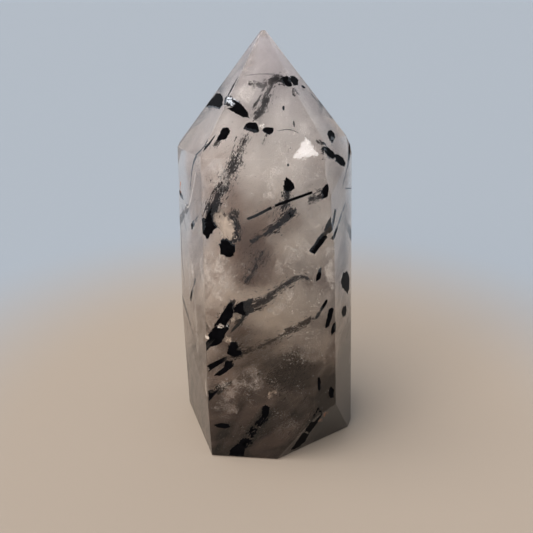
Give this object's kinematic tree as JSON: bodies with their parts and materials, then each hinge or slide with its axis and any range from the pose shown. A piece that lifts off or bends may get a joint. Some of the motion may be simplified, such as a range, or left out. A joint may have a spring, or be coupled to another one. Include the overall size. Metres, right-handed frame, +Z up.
{
  "type": "tourmalinated quartz point",
  "caption": "Polished, faceted point of milky clear quartz with black tourmaline crystals running through it, standing upright on its flat base as an ornament.",
  "frame": {"origin": "middle of the stone's outline on the plane of its flat base", "axes": "+Z up along the stone to its tip, -Y towards the broad front facet, +X to that facet's right as it is looked at"},
  "size_m": [0.0318, 0.0241, 0.07],
  "materials": {
    "quartz": "polished, milky clear",
    "tourmaline": "polished flush with the quartz, black"
  },
  "bodies": {
    "root": {"quartz": "quartz", "tourmaline_shoulder_left": "tourmaline", "tourmaline_brow_left": "tourmaline", "tourmaline_brow_middle": "tourmaline", "tourmaline_temple_left": "tourmaline", "tourmaline_temple_right": "tourmaline", "tourmaline_cheek_right": "tourmaline", "tourmaline_shoulder_right": "tourmaline", "tourmaline_edge_right": "tourmaline", "tourmaline_teardrop": "tourmaline", "tourmaline_chest_streak": "tourmaline", "tourmaline_thin": "tourmaline", "tourmaline_neck_right": "tourmaline", "tourmaline_block_left": "tourmaline", "tourmaline_rust": "tourmaline", "tourmaline_rust_twin": "tourmaline", "tourmaline_hip_right": "tourmaline", "tourmaline_chip_right": "tourmaline", "tourmaline_great_left": "tourmaline", "tourmaline_long_upper": "tourmaline", "tourmaline_short_mid": "tourmaline", "tourmaline_long_lower": "tourmaline", "tourmaline_bar_lower": "tourmaline", "tourmaline_blob_mid": "tourmaline", "tourmaline_side_right_long": "tourmaline", "tourmaline_side_right_upper": "tourmaline", "tourmaline_side_right_middle": "tourmaline", "tourmaline_side_right_outer": "tourmaline", "tourmaline_side_left": "tourmaline", "tourmaline_side_left_spot": "tourmaline", "tourmaline_corner_left_spot": "tourmaline", "tourmaline_wedge_left": "tourmaline", "tourmaline_bar_low_left": "tourmaline", "tourmaline_low_oval": "tourmaline", "tourmaline_low_corner": "tourmaline", "tourmaline_low_right": "tourmaline", "tourmaline_foot_right": "tourmaline", "tourmaline_foot_right_outer": "tourmaline", "tourmaline_back_upper": "tourmaline", "tourmaline_back_middle": "tourmaline", "tourmaline_back_lower": "tourmaline", "tourmaline_back_foot": "tourmaline", "tourmaline_back_left_upper": "tourmaline", "tourmaline_back_left_lower": "tourmaline", "tourmaline_back_right_upper": "tourmaline", "tourmaline_back_right_lower": "tourmaline", "tourmaline_crown_back": "tourmaline", "tourmaline_crown_back_right": "tourmaline"}
  },
  "joints": []
}
